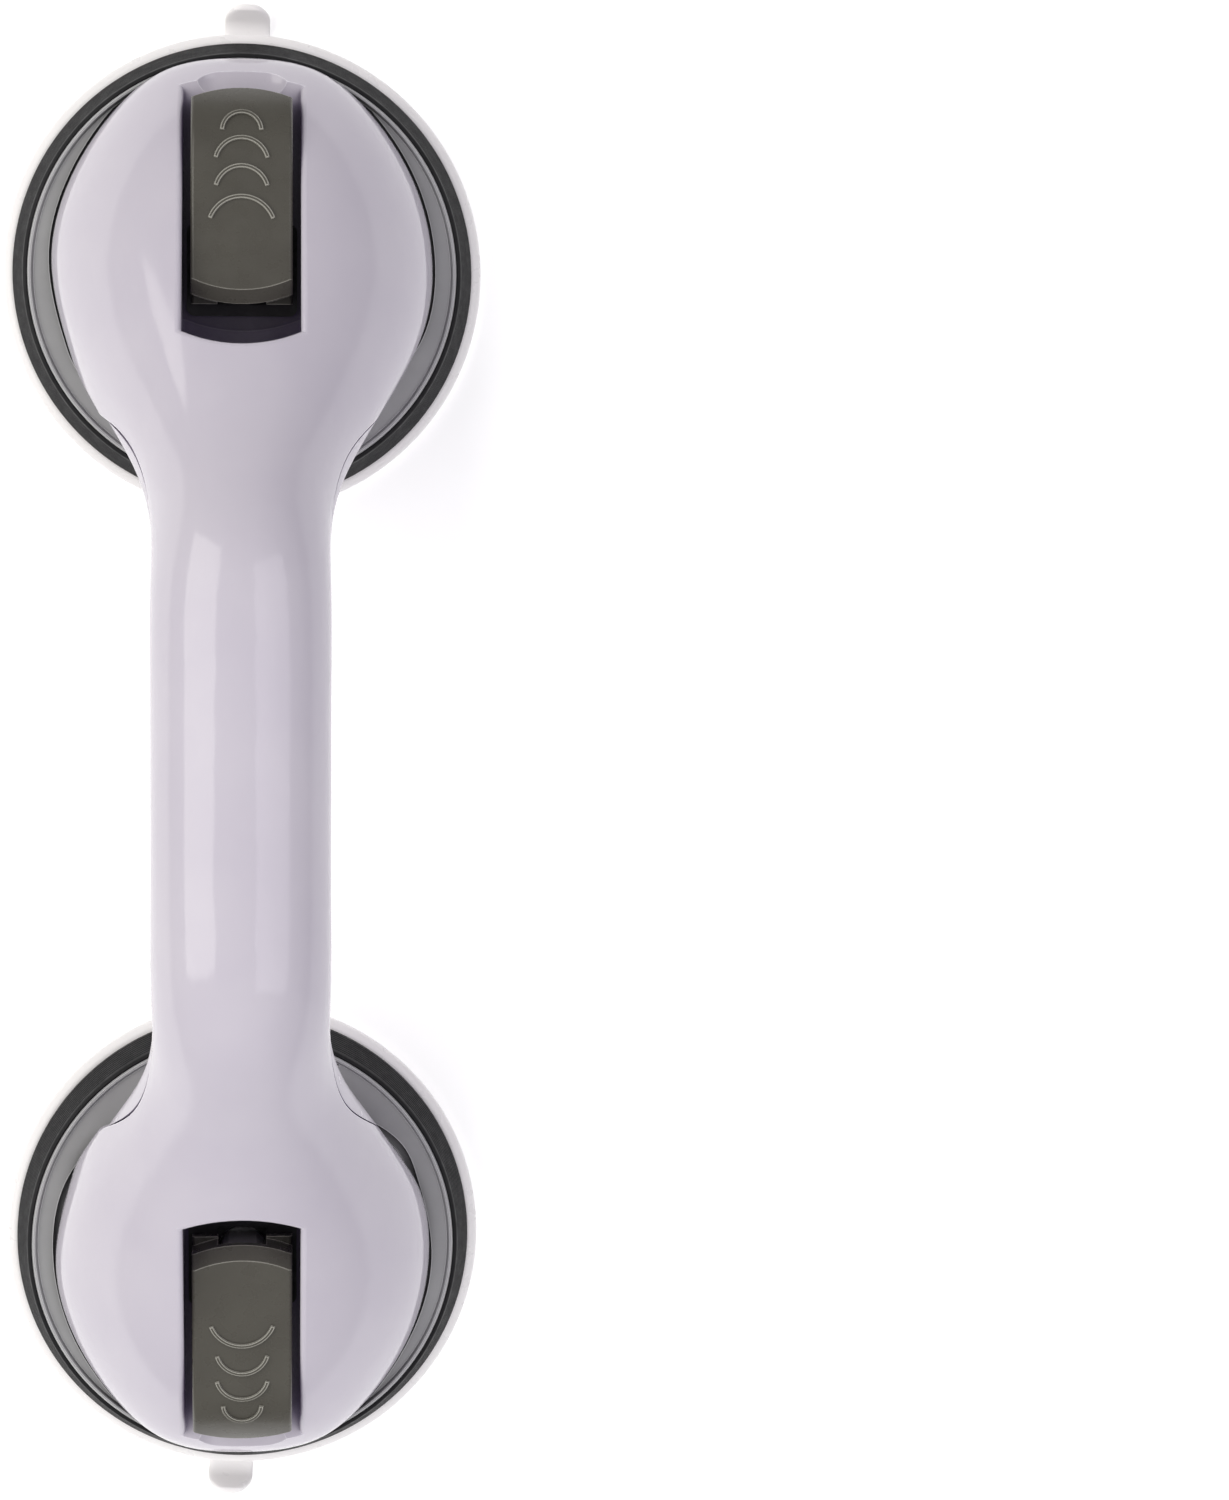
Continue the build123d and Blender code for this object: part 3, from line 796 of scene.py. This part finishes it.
@dataclass
class ReturnSpring:
    """Compression spring between the stem's collar and the roof of the turret.

    Lengths are in millimetres.

    Attributes:
        cup: the cup that the spring belongs to.
        turns: open turns.
        closed_turns: turns laid flat, over both ends together.
        flat_share: share of the wire at each end that lies flat.
        easing: how much of the climb follows an S-curve; the rest is even.
        wire: radius of the wire.
        mean: radius of the coil.
        low: height of the lower end.
        high: height of the upper end.
        blunting: share of the wire at each end over which it closes.
        wire_rows: cross-sections along the wire.
        wire_columns: points round each of them.
    """

    cup: Cup
    turns: float = 4.0
    closed_turns: float = 1.5
    flat_share: float = 0.06
    easing: float = 0.35
    wire: float = 0.55
    mean: float = 6.35
    low: float = 10.1
    high: float = 17.35
    blunting: float = 0.004
    wire_rows: int = 420
    wire_columns: int = 14

    def shape(self) -> np.ndarray:
        """The spring: a round wire carried along a helix whose pitch closes at both ends."""
        t = np.linspace(0.0, 1.0, self.wire_rows)
        turn = (FULL_TURN * (self.turns + self.closed_turns) * t)[:, None]
        along = (t - self.flat_share) / (1.0 - 2.0 * self.flat_share)
        climb = self.easing * smooth(along) + (1.0 - self.easing) * np.clip(along, 0.0, 1.0)
        height = self.low + self.wire + (self.high - self.low - 2.0 * self.wire) * climb
        a = np.linspace(0.0, FULL_TURN, self.wire_columns, endpoint=False)[None, :]
        blunt = np.sqrt(np.clip(np.minimum(t, 1.0 - t) / self.blunting, 0.0, 1.0))[:, None]
        radius = self.mean + self.wire * blunt * np.cos(a)
        z = height[:, None] + self.wire * blunt * np.sin(a)
        return np.stack([radius * np.cos(turn), radius * np.sin(turn), z], axis=-1) * MM

    def build(self, wardrobe: Wardrobe) -> None:
        """Make the spring in place and stand it in for its imported node."""
        end = self.cup.end
        spring = surface(f"coil_spring_{end}", self.cup.place(self.shape()), False, True)
        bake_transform(spring)
        wardrobe.dress(spring, "spring_steel")
        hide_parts(f"return_spring_{end}")


class PackedParts:
    """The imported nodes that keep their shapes: shells, levers, dishes, stems and fasteners."""

    FINISH_OF = {
        "handle_front_shell": "shell_lavender",
        "handle_back_shell": "back_lavender",
        "shell_screws": "screw_steel",
        "cup_housing": "dish_grey",
        "pad_stem": "stem_plastic",
        "cam_washer": "plate_steel",
        "lever": "lever_grey",
        "pivot_pin": "plate_steel",
        "housing_screws": "screw_steel",
    }

    def build(self, wardrobe: Wardrobe) -> None:
        """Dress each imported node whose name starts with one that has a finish."""
        for name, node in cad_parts.items():
            for start, finish in self.FINISH_OF.items():
                if name.startswith(start):
                    wardrobe.dress(node, finish)


# ---------------------------------------------------------------- studio
OBJECT_MIDDLE = (0.0, 0.0, 0.05)


@dataclass(frozen=True)
class Softbox:
    """One rectangular area light that faces the middle of the object.

    Attributes:
        name: the light's name.
        place: where it hangs.
        width: its size across.
        height: its size along the bar.
        watts: its power.
        colour: its colour.
        mirrored: whether glossy surfaces show its reflection.
    """

    name: str
    place: Place
    width: float
    height: float
    watts: float
    colour: Colour = (1.0, 1.0, 1.0)
    mirrored: bool = True

    def build(self) -> None:
        """Hang the light and turn it, with its height in the plane that holds the Y axis."""
        light = bpy.data.lights.new(self.name, "AREA")
        light.shape = "RECTANGLE"
        light.size, light.size_y = self.width, self.height
        light.energy = self.watts
        light.color = self.colour
        lamp = bpy.data.objects.new(self.name, light)
        lamp.visible_glossy = self.mirrored
        bpy.context.scene.collection.objects.link(lamp)
        place = np.array(self.place)
        away = place - np.array(OBJECT_MIDDLE)
        away /= np.linalg.norm(away)
        side = np.cross((0.0, 1.0, 0.0), away)
        side /= np.linalg.norm(side)
        rows = np.eye(4)
        rows[:3] = np.stack([side, np.cross(away, side), away, place], axis=1)
        lamp.matrix_world = Matrix(rows.tolist())


SOFTBOXES = (
    Softbox("box_left", (-0.546, 0.145, 0.635), 0.61, 1.01, 5.4, (1.0, 0.980, 0.935)),
    Softbox("box_right", (0.420, 0.05, 0.735), 0.58, 0.94, 2.5, (0.970, 0.930, 1.0)),
    Softbox("box_low", (0.0, -0.60, 0.55), 0.70, 0.40, 2.5, mirrored=False),
    Softbox("box_high", (0.0, 0.60, 0.55), 0.70, 0.40, 0.6, mirrored=False),
)


@dataclass
class Studio:
    """Pale floor, soft lights and the camera that looks down on the bar.

    Attributes:
        camera_place: where the camera stands.
        camera_turn: its turn about X, Y and Z, in degrees.
        lens: its focal length, in millimetres.
        floor_size: the floor's side.
        floor_drop: how far the floor lies under the pads.
        floor_colour: the floor's colour.
        floor_shade: how much of its brightness the floor keeps in its faint patches.
        floor_mottle: repeats of those patches in a metre.
        floor_detail: octaves of their noise.
        floor_rough: the floor's roughness.
        floor_glow: light that the floor gives off, to keep it white.
        world_colour: colour of the light from all round.
        world_light: strength of that light.
    """

    camera_place: Place = (0.00507, 0.08242, 0.87679)
    camera_turn: Place = (-5.2865, -4.4217, 0.4157)
    lens: float = 106.79
    floor_size: float = 6.0
    floor_drop: float = 0.0001
    floor_colour: Colour = (0.94, 0.94, 0.94)
    floor_shade: float = 0.995
    floor_mottle: float = 3.0
    floor_detail: float = 4.0
    floor_rough: float = 0.9
    floor_glow: float = 0.30
    world_colour: Colour = (0.97, 0.97, 1.0)
    world_light: float = 0.20

    def floor(self) -> None:
        """A wide pale floor just under the pads, with a faint unevenness in its colour."""
        half = self.floor_size / 2
        grid = np.array([[(-half, -half), (-half, half)], [(half, -half), (half, half)]])
        points = np.dstack([grid, np.full((2, 2), -self.floor_drop)])
        ground = surface("floor", points, False, False)
        if ground.data.polygons[0].normal.z < 0:
            ground.data.flip_normals()
        made = Nodes("floor_pale")
        drift = made.noise(self.floor_mottle, self.floor_detail)
        share = made.ranged(drift, 0, NOISE_SPAN, (0.0, 1.0))
        patches = tuple(self.floor_shade * part for part in self.floor_colour)
        made.join(made.mixed(share, self.floor_colour, patches), MIX_RESULT, made.shader, "Base Color")
        made.shader.inputs["Roughness"].default_value = self.floor_rough
        made.shader.inputs["Emission Color"].default_value = (1.0, 1.0, 1.0, 1.0)
        made.shader.inputs["Emission Strength"].default_value = self.floor_glow
        ground.data.materials.append(made.material)

    def world(self) -> None:
        """Even light from all round."""
        world = bpy.data.worlds.new("studio")
        world.use_nodes = True
        background = world.node_tree.nodes["Background"]
        background.inputs["Color"].default_value = (*self.world_colour, 1.0)
        background.inputs["Strength"].default_value = self.world_light
        bpy.context.scene.world = world

    def camera(self) -> None:
        """The camera, high above the bar and turned so that the bar lies left of the middle."""
        eye = bpy.data.cameras.new("camera")
        eye.lens = self.lens
        eye.clip_start, eye.clip_end = 0.01, 20.0
        holder = bpy.data.objects.new("camera", eye)
        bpy.context.scene.collection.objects.link(holder)
        holder.location = self.camera_place
        holder.rotation_euler = [math.radians(angle) for angle in self.camera_turn]
        bpy.context.scene.camera = holder

    def build(self) -> None:
        """Set up the floor, the world, the lights and the camera."""
        self.floor()
        self.world()
        for softbox in SOFTBOXES:
            softbox.build()
        self.camera()
        bpy.context.scene.view_settings.view_transform = "Standard"
        LOG.info("studio ready")


def main() -> None:
    """Build the studio and every sub-assembly in order."""
    logging.basicConfig(level=logging.INFO, format="%(name)s: %(message)s")
    wardrobe = Wardrobe()
    Studio().build()
    PackedParts().build(wardrobe)
    for cup in (Cup("top", 1, -1.1), Cup("bottom", -1, -3.0)):
        SuctionPad(cup).build(wardrobe)
        RimRing(cup).build(wardrobe)
        ReturnSpring(cup).build(wardrobe)


if __name__ == "__main__":
    main()
